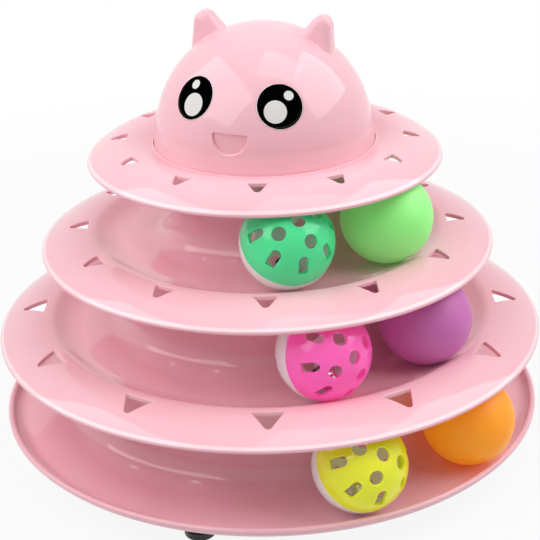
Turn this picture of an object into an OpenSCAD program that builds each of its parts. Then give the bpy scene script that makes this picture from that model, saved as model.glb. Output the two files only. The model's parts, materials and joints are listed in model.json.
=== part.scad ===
// Three-level ball track toy for cats: a shallow tray, two track rings stacked on it and a cap
// with a domed cat head. Each level holds one lattice ball with a bell and one plain ball.
// Millimetres, +Z up, the tower's axis is Z, the face looks along -Y and the feet stand on z = 0.
// Azimuths are counted in degrees from -Y towards +X.

/* [Balls] */
// Outer diameter of every ball
ball_d = 40; // [36:0.5:44]
// Wall of a lattice ball's halves
lattice_wall = 1.6; // [1.2:0.1:2.2]
// Wall of a plain ball
plain_wall = 1.2; // [0.8:0.1:2]
// Diameter of the bell inside a lattice ball
bell_d = 12; // [9:0.5:14]
// Sheet thickness of the bell
bell_wall = 0.6; // [0.4:0.05:0.9]
// Diameter of the bead inside the bell
bead_d = 4; // [3:0.1:5]

/* [Moulding] */
// Wall of the four pink mouldings
wall = 2; // [1.6:0.1:2.4]
// Radius of the dome of the cat head
dome_r = 48.2; // [44:0.1:54]
// Height of the tray's track floor above the table
tray_floor_z = 12.9; // [11:0.1:16]
// Rise from one track floor to the next, less the ball's diameter
head_gap = 1.7; // [1.2:0.1:4]

/* [Tracks] */
// Gap between the neck under the cap and the balls on the upper track
neck_gap = 1.9; // [1.5:0.1:4]
// Step from the upper track's radius to the lower track's
lower_track_step = 21.5; // [20:0.1:26]
// Step from the lower track's radius to the tray track's
tray_track_step = 23; // [21:0.1:27]
// Gap between a hub and the balls that roll round it
hub_gap = 2; // [1.5:0.1:4]
// Radius of the cove from a hub down to the track floor
cove_r = 12; // [8:0.5:14]

/* [Brims] */
// Width of a track ring's brim, from its outer edge to the lip of the track
brim_w = 23.5; // [20:0.1:27]
// Height of a brim's crest over its outer edge
brim_drop = 6; // [4:0.1:7]
// Width over which a brim curves down to its edge
brim_curve_w = 20; // [14:0.1:20]
// Reach of the lip beyond the track's centre, lower ring
lower_lip_reach = 15.5; // [15:0.1:18]
// Reach of the lip beyond the track's centre, upper ring
upper_lip_reach = 14.4; // [14:0.1:17]
// Height of the brim's crest over the track floor, lower ring
lower_crest_h = 5.7; // [4:0.1:6]
// Height of the brim's crest over the track floor, upper ring
upper_crest_h = 4.5; // [3.5:0.1:5]
// Width of the slope from a lip down to the track floor
lip_slope_w = 7; // [4:0.1:7.5]
// Reach of the cap's brim beyond the upper track's centre
cap_reach = 14.6; // [12:0.1:18]
// Height of the cap's crest over its seat
cap_crest_h = 4.1; // [3:0.1:5]
// Height of the cap's crest over its outer edge
cap_drop = 7; // [5:0.1:8]
// Width over which the cap's brim curves down to its edge
cap_curve_w = 17; // [12:0.1:20]
// Reach of the tray's edge beyond the tray track's centre
tray_reach = 16.5; // [15.5:0.1:20]
// Height of the tray's edge over its track floor
tray_edge_h = 4.5; // [3:0.1:7]
// Width of the tray's curved outer wall
tray_edge_w = 6.8; // [5:0.1:8]
// Radius of the bead round the tray's edge
tray_bead_r = 1.4; // [1:0.1:1.8]

/* [Peep holes] */
// Holes round each brim
hole_count = 12; // [6:1:14]
// Distance of a hole's inner side in from the brim's edge: cap, upper ring and lower ring
cap_hole_inset = 17.1; // [15:0.1:18]
upper_hole_inset = 20.2; // [17:0.1:21]
lower_hole_inset = 19.6; // [18:0.1:21]
// Width of a hole's inner side
cap_hole_w = 8.7; // [6:0.1:10]
upper_hole_w = 10.2; // [7:0.1:12]
lower_hole_w = 13.6; // [9:0.1:15]
// Length of a hole from its inner side to its point, before the point is rounded
cap_hole_l = 9.5; // [7:0.1:11]
upper_hole_l = 10.8; // [8:0.1:13]
lower_hole_l = 12.2; // [9:0.1:14]
// Radius of a hole's two inner corners
hole_corner_r = 0.5; // [0.3:0.1:1]
// Radius of a hole's outer point
hole_point_r = 1.8; // [1:0.1:2.2]
// Azimuth of one hole in the cap and of one in each ring
cap_hole_az = 14.5; // [0:0.1:30]
ring_hole_az = 16.6; // [0:0.1:30]

/* [Joints between the levels] */
// Depth that a collar reaches into the hub below
collar_h = 5.4; // [4:0.1:6]
// Wall of a collar
collar_wall = 1.8; // [1.4:0.1:2.4]
// Radial clearance of a collar in its hub
collar_gap = 0.3; // [0.2:0.05:0.5]
// Keys round a collar, which stop the levels from turning
key_count = 3; // [2:1:6]
// Width of a key
key_w = 5; // [3:0.1:8]
// Height of a key
key_h = 3.5; // [2:0.1:3.8]
// Azimuth of the first key
key_az = 0; // [0:1:90]

/* [Cat head] */
// Height of the dome's centre over the cap's seat
dome_rise = 6.5; // [6:0.1:9]
// Reach of the dome's skirt beyond its radius
skirt_reach = 1.3; // [1:0.1:2]
// Radius of the fillet between the skirt and the cap's brim
skirt_fillet_r = 2.4; // [1.5:0.1:3]
// Turn of the face about the tower's axis
face_turn = -1.1; // [-3:0.1:3]
// Tilt of the face to its left
face_tilt = 1.9; // [-3:0.1:3]
// Azimuth of the eyes, each side of the nose line
eye_az = 26.9; // [20:0.1:32]
// Elevation of the eyes over the dome's centre
eye_el = 30; // [22:0.1:36]
// Diameter of an eye
eye_d = 19.8; // [16:0.1:24]
// Thickness of an eye
eye_t = 0.6; // [0.4:0.1:0.8]
// Depth of the seat that an eye lies in
eye_seat_depth = 0.4; // [0.2:0.1:0.5]
// Width of the mouth
mouth_w = 15.4; // [12:0.1:19]
// Elevation of the mouth's straight upper edge over the dome's centre
mouth_el = 15.1; // [12:0.1:18]
// Depth of the mouth
mouth_depth = 0.9; // [0.5:0.1:1.2]
// Distance of an ear's outer side from the axis, at its foot
ear_side_x = 31.9; // [29:0.1:33]
// Distance of an ear's tip from the axis
ear_tip_x = 26.5; // [24:0.1:28]
// Height of an ear's tip over the dome's centre
ear_tip_h = 52.4; // [50:0.1:56]
// Radius of an ear's rounded tip
ear_tip_r = 4.4; // [3.5:0.1:6]
// Thickness of an ear at its foot
ear_t = 11; // [9:0.1:12]
// Distance that an ear's front leans back up to its tip
ear_lean_back = 2.5; // [0:0.1:3]
// Edge rounding of an ear
ear_edge_r = 2.6; // [2:0.1:3.2]
// Wall of an ear
ear_wall = 1.8; // [1.4:0.1:2]

/* [Feet] */
// Distance of the feet from the axis
foot_reach = 105; // [90:1:110]
// Diameter of a rubber foot
foot_d = 13.5; // [11:0.1:16]
// Height of a rubber foot
foot_h = 3.5; // [2.5:0.1:5]
// Diameter of the boss that carries a foot
boss_d = 9; // [8:0.1:11]
// Diameter of a foot's stem
stem_d = 4; // [3:0.1:5]
// Length of a foot's stem
stem_h = 4; // [3:0.1:5]

/* [Hidden] */
$fn = 96;

// Small values shared by several pieces
overrun = 1;
rest_gap = 0.3;
fit_gap = 0.15;
ball_r = ball_d / 2;
arc_steps = 10;
corner_steps = 4;
hull_fn = 28;

// Track floors, and the seats that the levels stand on
level_pitch = ball_d + head_gap;
lower_floor_z = tray_floor_z + level_pitch;
upper_floor_z = lower_floor_z + level_pitch;
lower_seat_z = lower_floor_z - wall;
upper_seat_z = upper_floor_z - wall;
cap_seat_z = upper_floor_z + level_pitch;

// The neck that carries the cap is as wide as the dome, and the tracks follow outwards from it
collar_room = 0.6;
neck_flare_h = 8;
neck_r = dome_r + wall - 2 * collar_gap;
neck_top_z = cap_seat_z - collar_h - collar_room;
neck_over_ball = neck_top_z - upper_floor_z - rest_gap - ball_r;
ball_r_at_neck = sqrt(pow(ball_r, 2) - pow(neck_over_ball, 2));
upper_track_r = neck_r + ball_r_at_neck + neck_gap;
lower_track_r = upper_track_r + lower_track_step;
tray_track_r = lower_track_r + tray_track_step;
cap_rim_r = upper_track_r + cap_reach;
upper_rim_r = upper_track_r + upper_lip_reach + brim_w;
lower_rim_r = lower_track_r + lower_lip_reach + brim_w;
tray_rim_r = tray_track_r + tray_reach;

// Hubs, which leave room for the balls
upper_hub_r = upper_track_r - ball_r - hub_gap;
lower_hub_r = lower_track_r - ball_r - hub_gap;
tray_hub_r = tray_track_r - ball_r - hub_gap;

// The dome and the cap's crest
dome_z = cap_seat_z + dome_rise;
cap_crest_z = cap_seat_z + cap_crest_h;
skirt_r = dome_r + skirt_reach;
skirt_z = cap_seat_z + wall;
cap_collar_r = neck_r - wall - collar_gap;

// Balls on their tracks
lattice_azimuths = [24.75, 32.25, 36.5];
plain_azimuths = [70.5, 69, 68.75];
upper_ball_z = upper_floor_z + rest_gap + ball_r;
lower_ball_z = lower_floor_z + rest_gap + ball_r;
tray_ball_z = tray_floor_z + rest_gap + ball_r;

// How each lattice ball lies: tilt of its pole from +Z, heading of the pole, roll about the pole
green_turn = [42.5, -52.3, 20.3];
pink_turn = [75.2, -34.2, 22.2];
yellow_turn = [51.1, -39.1, 54.5];

// Holes in a lattice ball's half: one at the pole, a ring of round ones and a ring of slots
lattice_hole_d = 6;
lattice_ring_tilt = 29;
lattice_ring_count = 4;
slot_w = 4.2;
slot_l = 8;
slot_tilt = 55.6;
slot_count = 8;
tongue_h = 1.5;
tongue_t = 0.7;
tongue_gap = 0.1;

// The bell's band, slot and sound holes
bell_band_w = 1.2;
bell_band_reach = 0.35;
bell_slot_w = 1.1;
bell_hole_d = 2.6;
bell_hole_tilt = 48;

// The ears and the mouth
ear_front_y = -4;
ear_lean = 45;
ear_foot_h = 32;
ear_foot_run = 15;
ear_inner_h = 38;
eye_gap = 0.1;
mouth_straight_share = 0.06;

colour_pink = "#f6ccd6";
colour_rubber = "#1c1c1e";

function on_track(radius, azimuth, height) = [radius * sin(azimuth), -radius * cos(azimuth), height];
function unit(v) = v / norm(v);
function reversed(list) = [for (i = [len(list) - 1 : -1 : 0]) list[i]];

// The side of each stretch of a path that lies on the left of its direction
function side(path, i) = let (d = unit(path[i + 1] - path[i])) [-d[1], d[0]];
function vertex_side(path, i) =
  i == 0 ? side(path, 0)
  : i == len(path) - 1 ? side(path, i - 1)
  : let (a = side(path, i - 1), b = side(path, i)) (a + b) / (1 + a * b);
function moved(path, t) =
  [for (i = [0 : len(path) - 1]) let (p = path[i] + t * vertex_side(path, i)) [max(p[0], 0), p[1]]];

// A wall of thickness t along a path, on its left, with a round end at the path's start
function thick(path, t) =
  let (under = moved(path, t), centre = (path[0] + under[0]) / 2, to_top = path[0] - centre,
    ahead = [to_top[1], -to_top[0]])
  concat(path, reversed(under),
    [for (i = [1 : arc_steps - 1]) let (a = 180 * i / arc_steps) centre - to_top * cos(a) + ahead * sin(a)]);

// Stretches of a moulding's upper face, from the outside inwards, each as [radius, height] points
function brim(rim_r, crest_z, drop, curve_w) =
  [for (i = [0 : arc_steps]) let (s = i / arc_steps)
    [rim_r - s * curve_w, crest_z - drop * pow(1 - s, 2)]];
function valley(from_r, crest_z, to_r, low_z) =
  [for (i = [1 : arc_steps - 1]) let (s = i / arc_steps)
    [from_r - s * (from_r - to_r), crest_z - (crest_z - low_z) * pow(s, 2)]];
function lip(lip_r, crest_z, floor_z) =
  [for (i = [0 : arc_steps]) let (s = i / arc_steps)
    [lip_r - s * lip_slope_w, floor_z + (crest_z - floor_z) * (1 + cos(180 * s)) / 2]];
function cove(hub_r, floor_z) =
  [for (i = [0 : arc_steps]) let (a = 90 * i / arc_steps)
    [hub_r + cove_r * (1 - sin(a)), floor_z + cove_r * (1 - cos(a))]];

// A rounded triangle that points along +X, with its straight side on the Y axis
function rounded_triangle(w, l) =
  let (half = atan(w / 2 / l), along = hole_corner_r / tan(45 - half / 2),
    centres = [[l - hole_point_r / sin(half), 0], [hole_corner_r, w / 2 - along], [hole_corner_r, along - w / 2]],
    radii = [hole_point_r, hole_corner_r, hole_corner_r],
    starts = [half - 90, 90 - half, 180], sweeps = [180 - 2 * half, 90 + half, 90 + half])
  [for (k = [0 : 2]) for (i = [0 : corner_steps])
    let (a = starts[k] + sweeps[k] * i / corner_steps) centres[k] + radii[k] * [cos(a), sin(a)]];

module moulding(path) {
  rotate_extrude() polygon(thick(path, wall));
}

module peep_holes(inner_r, w, l, azimuth, low_z, high_z) {
  for (i = [0 : hole_count - 1])
    rotate([0, 0, azimuth - 90 + i * 360 / hole_count])
      translate([inner_r, 0, low_z])
        linear_extrude(high_z - low_z) polygon(rounded_triangle(w, l));
}

module tube(outer_r, inner_r, low_z, high_z) {
  translate([0, 0, low_z]) difference() {
    cylinder(h = high_z - low_z, r = outer_r);
    translate([0, 0, -overrun]) cylinder(h = high_z - low_z + 2 * overrun, r = inner_r);
  }
}

// Bars round the axis, cut to a ring: keys on a collar, or the notches that take them
module key_bars(inner_r, outer_r, w, low_z, high_z) {
  intersection() {
    tube(outer_r, inner_r, low_z, high_z);
    for (i = [0 : key_count - 1])
      rotate([0, 0, key_az - 90 + i * 360 / key_count])
        translate([0, -w / 2, low_z]) cube([outer_r + overrun, w, high_z - low_z]);
  }
}

// Open top of a hub, with notches for the keys of the level above
module key_notches(hub_r, seat_z) {
  key_bars(hub_r - wall - overrun, hub_r + overrun, key_w + 2 * collar_gap,
    seat_z - key_h - collar_gap, seat_z + overrun);
}

// Collar under a level, which stands in the hub below, with its keys
module collar(hub_r, seat_z) {
  collar_r = hub_r - wall - collar_gap;
  tube(collar_r, collar_r - collar_wall, seat_z - collar_h, seat_z + wall / 2);
  key_bars(collar_r - collar_wall / 2, hub_r - collar_gap, key_w, seat_z - key_h, seat_z + wall / 2);
}

module track_ring(rim_r, lip_r, crest_z, floor_z, hub_path, hole_inset, hole_w, hole_l) {
  difference() {
    moulding(concat(brim(rim_r, crest_z, brim_drop, brim_curve_w), lip(lip_r, crest_z, floor_z), hub_path));
    peep_holes(rim_r - hole_inset, hole_w, hole_l, ring_hole_az, floor_z - brim_drop, crest_z + overrun);
  }
}

module base_tray() {
  bead_centre_r = tray_rim_r - tray_bead_r;
  rim_r = bead_centre_r - wall / 2;
  edge_z = tray_floor_z + tray_edge_h - tray_bead_r;
  color(colour_pink) {
    difference() {
      union() {
        moulding(concat(
          [for (i = [0 : arc_steps]) let (a = 90 * i / arc_steps)
            [rim_r - tray_edge_w * (1 - cos(a)), edge_z - (edge_z - tray_floor_z) * sin(a)]],
          cove(tray_hub_r, tray_floor_z), [[tray_hub_r, lower_seat_z]]));
        rotate_extrude() translate([bead_centre_r, edge_z]) circle(r = tray_bead_r);
        for (i = [0 : 3]) rotate([0, 0, 90 * i])
          translate([foot_reach, 0, foot_h])
            cylinder(h = tray_floor_z - wall / 2 - foot_h, d = boss_d);
      }
      key_notches(tray_hub_r, lower_seat_z);
      for (i = [0 : 3]) rotate([0, 0, 90 * i])
        translate([foot_reach, 0, foot_h - overrun])
          cylinder(h = stem_h + rest_gap + overrun, d = stem_d + 2 * fit_gap);
    }
  }
}

// Rubber foot: a pad with a rounded lower edge and a stem that is pushed up into its boss
module foot(azimuth) {
  edge_r = foot_h / 3;
  color(colour_rubber)
    translate(on_track(foot_reach, azimuth, 0)) {
      rotate_extrude() polygon(concat(
        [[0, 0], [foot_d / 2 - edge_r, 0]],
        [for (i = [1 : arc_steps]) let (a = 90 * i / arc_steps)
          [foot_d / 2 - edge_r * (1 - sin(a)), edge_r * (1 - cos(a))]],
        [[foot_d / 2, foot_h], [0, foot_h]]));
      translate([0, 0, foot_h - edge_r]) cylinder(h = stem_h + edge_r, d = stem_d);
    }
}

module lower_track_ring() {
  color(colour_pink) difference() {
    union() {
      track_ring(lower_rim_r, lower_track_r + lower_lip_reach, lower_floor_z + lower_crest_h,
        lower_floor_z, concat(cove(lower_hub_r, lower_floor_z), [[lower_hub_r, upper_seat_z]]),
        lower_hole_inset, lower_hole_w, lower_hole_l);
      collar(tray_hub_r, lower_seat_z);
    }
    key_notches(lower_hub_r, upper_seat_z);
  }
}

module upper_track_ring() {
  color(colour_pink) difference() {
    union() {
      track_ring(upper_rim_r, upper_track_r + upper_lip_reach, upper_floor_z + upper_crest_h,
        upper_floor_z, concat(cove(upper_hub_r, upper_floor_z),
          [[upper_hub_r, neck_top_z - neck_flare_h], [neck_r, neck_top_z], [neck_r, cap_seat_z]]),
        upper_hole_inset, upper_hole_w, upper_hole_l);
      collar(lower_hub_r, upper_seat_z);
    }
    key_notches(neck_r, cap_seat_z);
  }
}

// Points of an ear's outline, where round balls of the edge's size are set to hull it. Each has its
// distance from the axis, the place of its front and its height.
function ear_points() =
  let (reach = ear_tip_r - ear_edge_r)
  [for (a = [0, 60, 90 + ear_lean])
    [ear_tip_x + reach * cos(a), ear_front_y + ear_lean_back, dome_z + ear_tip_h - ear_tip_r + reach * sin(a)]];
function ear_feet() =
  [[ear_side_x - ear_edge_r, ear_front_y, dome_z + ear_foot_h],
    [ear_foot_run, ear_front_y, dome_z + ear_inner_h]];

module ear_form(s, r) {
  hull() {
    for (p = concat(ear_points(), ear_feet()))
      for (y = [p[1] + ear_edge_r, ear_front_y + ear_t - ear_edge_r])
        translate([s * p[0], y, p[2]]) sphere(r = r, $fn = hull_fn);
  }
}

// What is drawn about the dome's centre, turned and tilted as the face is
module on_face() {
  translate([0, 0, dome_z]) rotate([0, 0, face_turn]) rotate([0, face_tilt, 0]) children();
}

// Part of the dome's skin between two depths, under a round patch
module dome_patch(azimuth, elevation, d, inner_r, outer_r) {
  intersection() {
    on_face() rotate([0, 0, azimuth - 90]) rotate([0, 90 - elevation, 0]) cylinder(h = outer_r + overrun, d = d);
    translate([0, 0, dome_z]) difference() {
      sphere(r = outer_r);
      sphere(r = inner_r);
    }
  }
}

// Half-disc mouth with a straight upper edge, sunk into the dome
module mouth() {
  intersection() {
    translate([0, 0, dome_z]) difference() {
      sphere(r = dome_r + overrun);
      sphere(r = dome_r - mouth_depth);
    }
    on_face() translate([0, 0, dome_r * sin(mouth_el)]) rotate([90, 0, 0])
      linear_extrude(dome_r + overrun) {
        intersection() {
          translate([0, -mouth_w * mouth_straight_share]) circle(d = mouth_w);
          translate([-mouth_w, -mouth_w]) square([2 * mouth_w, mouth_w]);
        }
      }
  }
}

module cat_head_cap() {
  start_a = asin(skirt_fillet_r / dome_r);
  path = concat(
    brim(cap_rim_r, cap_crest_z, cap_drop, cap_curve_w),
    valley(cap_rim_r - cap_curve_w, cap_crest_z, skirt_r + skirt_fillet_r, skirt_z),
    [for (i = [0 : arc_steps]) let (a = 75 * i / arc_steps)
      [skirt_r + skirt_fillet_r * (1 - sin(a)), skirt_z + skirt_fillet_r * (1 - cos(a))]],
    [for (i = [0 : 3 * arc_steps]) let (a = start_a + (90 - start_a) * i / (3 * arc_steps))
      [max(dome_r * cos(a), 0), dome_z + dome_r * sin(a)]]);
  color(colour_pink) difference() {
    union() {
      moulding(path);
      tube(neck_r, cap_collar_r - collar_wall, cap_seat_z, skirt_z + wall / 2);
      collar(neck_r, cap_seat_z);
      difference() {
        for (s = [-1, 1]) ear_form(s, ear_edge_r);
        translate([0, 0, dome_z]) sphere(r = dome_r - wall / 2);
      }
    }
    for (s = [-1, 1]) ear_form(s, ear_edge_r - ear_wall);
    peep_holes(cap_rim_r - cap_hole_inset, cap_hole_w, cap_hole_l, cap_hole_az,
      cap_seat_z - cap_drop, cap_crest_z + overrun);
    mouth();
    for (s = [-1, 1])
      dome_patch(s * eye_az, eye_el, eye_d + 2 * eye_gap, dome_r - eye_seat_depth, dome_r + overrun);
  }
}

module eye(s) {
  color("#151515") dome_patch(s * eye_az, eye_el, eye_d,
    dome_r - eye_seat_depth, dome_r - eye_seat_depth + eye_t);
}

// Turns a ball's own frame, whose pole is +Z, to the way that the ball lies
module turned(turn) {
  rotate([0, turn[0], 0]) rotate([0, 0, turn[2]]) children();
}

module ball_place(track_r, azimuth, height, turn) {
  translate(on_track(track_r, azimuth, height))
    rotate([0, 0, turn[1]]) turned(turn) children();
}

// Holes of one lattice half, along its own +Z pole
module lattice_holes() {
  cylinder(h = ball_d, d = lattice_hole_d);
  for (i = [0 : lattice_ring_count - 1])
    rotate([0, 0, i * 360 / lattice_ring_count]) rotate([0, lattice_ring_tilt, 0])
      cylinder(h = ball_d, d = lattice_hole_d);
  for (i = [0 : slot_count - 1])
    rotate([0, 0, (i + 0.5) * 360 / slot_count]) rotate([0, slot_tilt, 0])
      linear_extrude(ball_d) {
        translate([(slot_w - slot_l) / 2, 0]) circle(d = slot_w);
        translate([(slot_w - slot_l) / 2, -slot_w / 2]) square([slot_l - slot_w / 2, slot_w]);
      }
}

module half_sphere(r) {
  intersection() {
    sphere(r = r);
    translate([-r, -r, 0]) cube([2 * r, 2 * r, r]);
  }
}

// Coloured half: its rim is rebated for the white half's tongue
module lattice_front(turn, track_r, azimuth, height) {
  ball_place(track_r, azimuth, height, turn) difference() {
    half_sphere(ball_r);
    sphere(r = ball_r - lattice_wall);
    translate([0, 0, -overrun])
      cylinder(h = tongue_h + tongue_gap + overrun, r = ball_r - lattice_wall + tongue_t + tongue_gap);
    lattice_holes();
  }
}

// White half, with the tongue that snaps into the coloured half
module lattice_back(turn, track_r, azimuth, height) {
  ball_place(track_r, azimuth, height, turn) {
    mirror([0, 0, 1]) difference() {
      half_sphere(ball_r);
      sphere(r = ball_r - lattice_wall);
      lattice_holes();
    }
    tube(ball_r - lattice_wall + tongue_t, ball_r - lattice_wall, -tongue_h, tongue_h);
  }
}

// Jingle bell: two crimped cups, slotted across the top, with a hole near each end of the slot
module bell(track_r, azimuth, height) {
  bell_r = bell_d / 2;
  translate(on_track(track_r, azimuth, height - ball_r + lattice_wall + rest_gap + bell_r))
    rotate([0, 0, azimuth]) difference() {
      union() {
        sphere(r = bell_r);
        translate([0, 0, -bell_band_w / 2]) cylinder(h = bell_band_w, r = bell_r + bell_band_reach);
      }
      sphere(r = bell_r - bell_wall);
      translate([-bell_r * sin(bell_hole_tilt), -bell_slot_w / 2, bell_wall])
        cube([bell_d * sin(bell_hole_tilt), bell_slot_w, bell_r]);
      for (s = [-1, 1]) rotate([0, s * bell_hole_tilt, 0]) cylinder(h = bell_d, d = bell_hole_d);
    }
}

module bead(track_r, azimuth, height) {
  translate(on_track(track_r, azimuth,
      height - ball_r + lattice_wall + rest_gap + bell_wall + rest_gap + bead_d / 2))
    sphere(d = bead_d);
}

module plain_ball(track_r, azimuth, height) {
  translate(on_track(track_r, azimuth, height)) difference() {
    sphere(r = ball_r);
    sphere(r = ball_r - plain_wall);
  }
}

// Balls on the upper track
module green_ball_shell() {
  color("#3ed080") lattice_front(green_turn, upper_track_r, lattice_azimuths[0], upper_ball_z);
}
module green_ball_back() {
  color("#f2ecec") lattice_back(green_turn, upper_track_r, lattice_azimuths[0], upper_ball_z);
}
module green_ball_bell() {
  color("#c9c9cc") bell(upper_track_r, lattice_azimuths[0], upper_ball_z);
}
module green_ball_bead() {
  color("#8f9094") bead(upper_track_r, lattice_azimuths[0], upper_ball_z);
}
module mint_ball() {
  color("#8fe08a") plain_ball(upper_track_r, plain_azimuths[0], upper_ball_z);
}

// Balls on the lower track
module pink_ball_shell() {
  color("#ff4fa8") lattice_front(pink_turn, lower_track_r, lattice_azimuths[1], lower_ball_z);
}
module pink_ball_back() {
  color("#f2ecec") lattice_back(pink_turn, lower_track_r, lattice_azimuths[1], lower_ball_z);
}
module pink_ball_bell() {
  color("#c9c9cc") bell(lower_track_r, lattice_azimuths[1], lower_ball_z);
}
module pink_ball_bead() {
  color("#8f9094") bead(lower_track_r, lattice_azimuths[1], lower_ball_z);
}
module purple_ball() {
  color("#a94fa8") plain_ball(lower_track_r, plain_azimuths[1], lower_ball_z);
}

// Balls on the tray
module yellow_ball_shell() {
  color("#e0f040") lattice_front(yellow_turn, tray_track_r, lattice_azimuths[2], tray_ball_z);
}
module yellow_ball_back() {
  color("#f2ecec") lattice_back(yellow_turn, tray_track_r, lattice_azimuths[2], tray_ball_z);
}
module yellow_ball_bell() {
  color("#c9c9cc") bell(tray_track_r, lattice_azimuths[2], tray_ball_z);
}
module yellow_ball_bead() {
  color("#8f9094") bead(tray_track_r, lattice_azimuths[2], tray_ball_z);
}
module orange_ball() {
  color("#f39a20") plain_ball(tray_track_r, plain_azimuths[2], tray_ball_z);
}

base_tray();
foot(0);  // front_foot
foot(90);  // right_foot
foot(180);  // rear_foot
foot(270);  // left_foot
lower_track_ring();
upper_track_ring();
cat_head_cap();
eye(-1);  // left_eye
eye(1);  // right_eye
green_ball_shell();
green_ball_back();
green_ball_bell();
green_ball_bead();
mint_ball();
pink_ball_shell();
pink_ball_back();
pink_ball_bell();
pink_ball_bead();
purple_ball();
yellow_ball_shell();
yellow_ball_back();
yellow_ball_bell();
yellow_ball_bead();
orange_ball();
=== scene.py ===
"""Looks of a three-level ball track toy for cats: glossy pink mouldings, printed eyes and six balls.

Shapes are worked out in millimetres and made into meshes in metres, in the frame of the solids.
Azimuths are degrees from -Y, where the face looks, towards +X.
"""

import json
import math

import bmesh
import bpy
import numpy as np
from mathutils import Matrix, Vector
from mathutils.geometry import delaunay_2d_cdt


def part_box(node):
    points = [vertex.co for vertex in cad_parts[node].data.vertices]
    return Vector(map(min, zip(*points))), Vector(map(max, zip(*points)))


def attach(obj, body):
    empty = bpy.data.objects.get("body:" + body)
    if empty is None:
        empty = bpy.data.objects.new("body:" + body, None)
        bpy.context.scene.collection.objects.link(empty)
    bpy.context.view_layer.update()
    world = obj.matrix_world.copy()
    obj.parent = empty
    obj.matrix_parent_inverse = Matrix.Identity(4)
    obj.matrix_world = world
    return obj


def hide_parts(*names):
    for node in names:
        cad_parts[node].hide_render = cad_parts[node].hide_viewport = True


MM = 0.001

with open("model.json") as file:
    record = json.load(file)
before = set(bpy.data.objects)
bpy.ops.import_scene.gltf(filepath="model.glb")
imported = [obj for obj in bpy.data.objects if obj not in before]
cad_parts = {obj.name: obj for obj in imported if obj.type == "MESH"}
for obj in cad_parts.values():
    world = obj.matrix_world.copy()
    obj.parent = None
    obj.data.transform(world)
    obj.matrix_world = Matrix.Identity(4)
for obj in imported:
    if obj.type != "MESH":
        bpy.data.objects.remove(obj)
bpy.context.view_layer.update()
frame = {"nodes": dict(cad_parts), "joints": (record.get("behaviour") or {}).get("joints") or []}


def middle(node):
    """Centre of a solid, in millimetres."""
    low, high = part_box(node)
    return (np.array(low) / MM + np.array(high) / MM) / 2


# Camera, fitted to the photograph
CAMERA_PLACE = (0.17847, -0.56603, 0.33911)
CAMERA_HEADING = 17.5
CAMERA_PITCH = 23.909
CAMERA_ROLL = -1.6014
CAMERA_LENS = 92.98
CAMERA_SHIFT_X = 0.0035


def camera():
    heading, pitch, roll = (math.radians(a) for a in (CAMERA_HEADING, CAMERA_PITCH, CAMERA_ROLL))
    forward = Vector((-math.sin(heading) * math.cos(pitch), math.cos(heading) * math.cos(pitch),
                      -math.sin(pitch)))
    level = Vector((math.cos(heading), math.sin(heading), 0))
    upright = level.cross(forward)
    right = level * math.cos(roll) + upright * math.sin(roll)
    up = right.cross(forward)
    turned = Matrix((right, up, -forward)).transposed().to_4x4()
    seen = bpy.data.objects.new("camera", bpy.data.cameras.new("camera"))
    seen.matrix_world = Matrix.Translation(CAMERA_PLACE) @ turned
    seen.data.lens = CAMERA_LENS
    seen.data.shift_x = CAMERA_SHIFT_X
    bpy.context.scene.collection.objects.link(seen)
    bpy.context.scene.camera = seen


camera()


# Sizes of the solids, in millimetres
WALL = 2.0
BALL_R = 20.0
TRACK_R = {"upper": 64.261, "lower": 85.761, "tray": 108.761}
HUB_GAP = 2.0
HUB_R = {level: r - BALL_R - HUB_GAP for level, r in TRACK_R.items()}
LEVEL_PITCH = 41.7
TRAY_FLOOR_Z = 12.9
FLOOR_Z = {"tray": TRAY_FLOOR_Z, "lower": TRAY_FLOOR_Z + LEVEL_PITCH,
           "upper": TRAY_FLOOR_Z + 2 * LEVEL_PITCH}
SEAT_Z = {"lower": FLOOR_Z["lower"] - WALL, "upper": FLOOR_Z["upper"] - WALL,
          "cap": FLOOR_Z["upper"] + LEVEL_PITCH}
COVE_R = 12.0

# Brims
BRIM_W = 23.5
BRIM_DROP = 6.0
BRIM_CURVE_W = 20.0
CAP_DROP = 7.0
CAP_CURVE_W = 17.0
LIP_ROLL_R = 8.0
LIP_ROLL_REACH = 2.0
LIP_R = {"upper": TRACK_R["upper"] + 14.4, "lower": TRACK_R["lower"] + 15.5}
CREST_H = {"cap": 4.1, "upper": 4.5, "lower": 5.7}
CAP_RIM_R = TRACK_R["upper"] + 14.6
TRAY_BEAD_R = 1.4
TRAY_BEAD_CENTRE = (TRACK_R["tray"] + 16.5 - TRAY_BEAD_R, TRAY_FLOOR_Z + 4.5 - TRAY_BEAD_R)
TRAY_EDGE_W = 6.8

# Peep holes
HOLE_COUNT = 12
HOLE_INSET = {"cap": 17.1, "upper": 20.2, "lower": 19.6}
HOLE_W = {"cap": 8.7, "upper": 10.2, "lower": 13.6}
HOLE_L = {"cap": 9.5, "upper": 10.8, "lower": 12.2}
HOLE_AZ = {"cap": 14.5, "upper": 16.6, "lower": 16.6}
HOLE_CORNER_R = 0.5
HOLE_POINT_R = 1.8
HOLE_EDGE_R = 0.5
HOLE_MARGIN = 2.0

# Collars and keys
COLLAR_H = 5.4
COLLAR_WALL = 1.8
COLLAR_GAP = 0.3
COLLAR_SOFT = 0.4
KEY_COUNT = 3
KEY_W = 5.0
KEY_H = 3.5
NOTCH_H = KEY_H + COLLAR_GAP

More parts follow.
